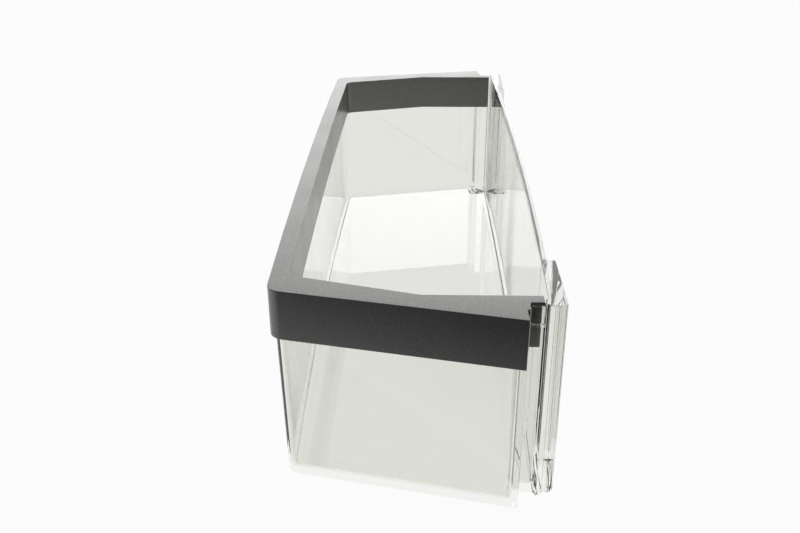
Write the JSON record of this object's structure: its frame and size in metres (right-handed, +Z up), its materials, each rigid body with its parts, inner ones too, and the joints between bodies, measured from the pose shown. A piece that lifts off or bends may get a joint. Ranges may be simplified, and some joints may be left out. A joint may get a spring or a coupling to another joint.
{
  "type": "fridge door shelf",
  "caption": "Clear moulded door shelf for a fridge that holds bottles: a deep tray with flared ends, stepped in at the rear to sit on the door liner, under a grey trim frame.",
  "frame": {"origin": "centre of the bounding box in plan, on the underside of the tray", "axes": "+X along the shelf to the right as seen from the front, -Y out of the bowed front, +Y towards the door liner, +Z up"},
  "size_m": [0.399, 0.1272, 0.0985],
  "materials": {
    "clear_plastic": "clear, polished",
    "grey_plastic": "satin grey with a fine metallic grain"
  },
  "bodies": {
    "root": {"tray": "clear_plastic", "trim_frame": "grey_plastic"}
  },
  "joints": []
}
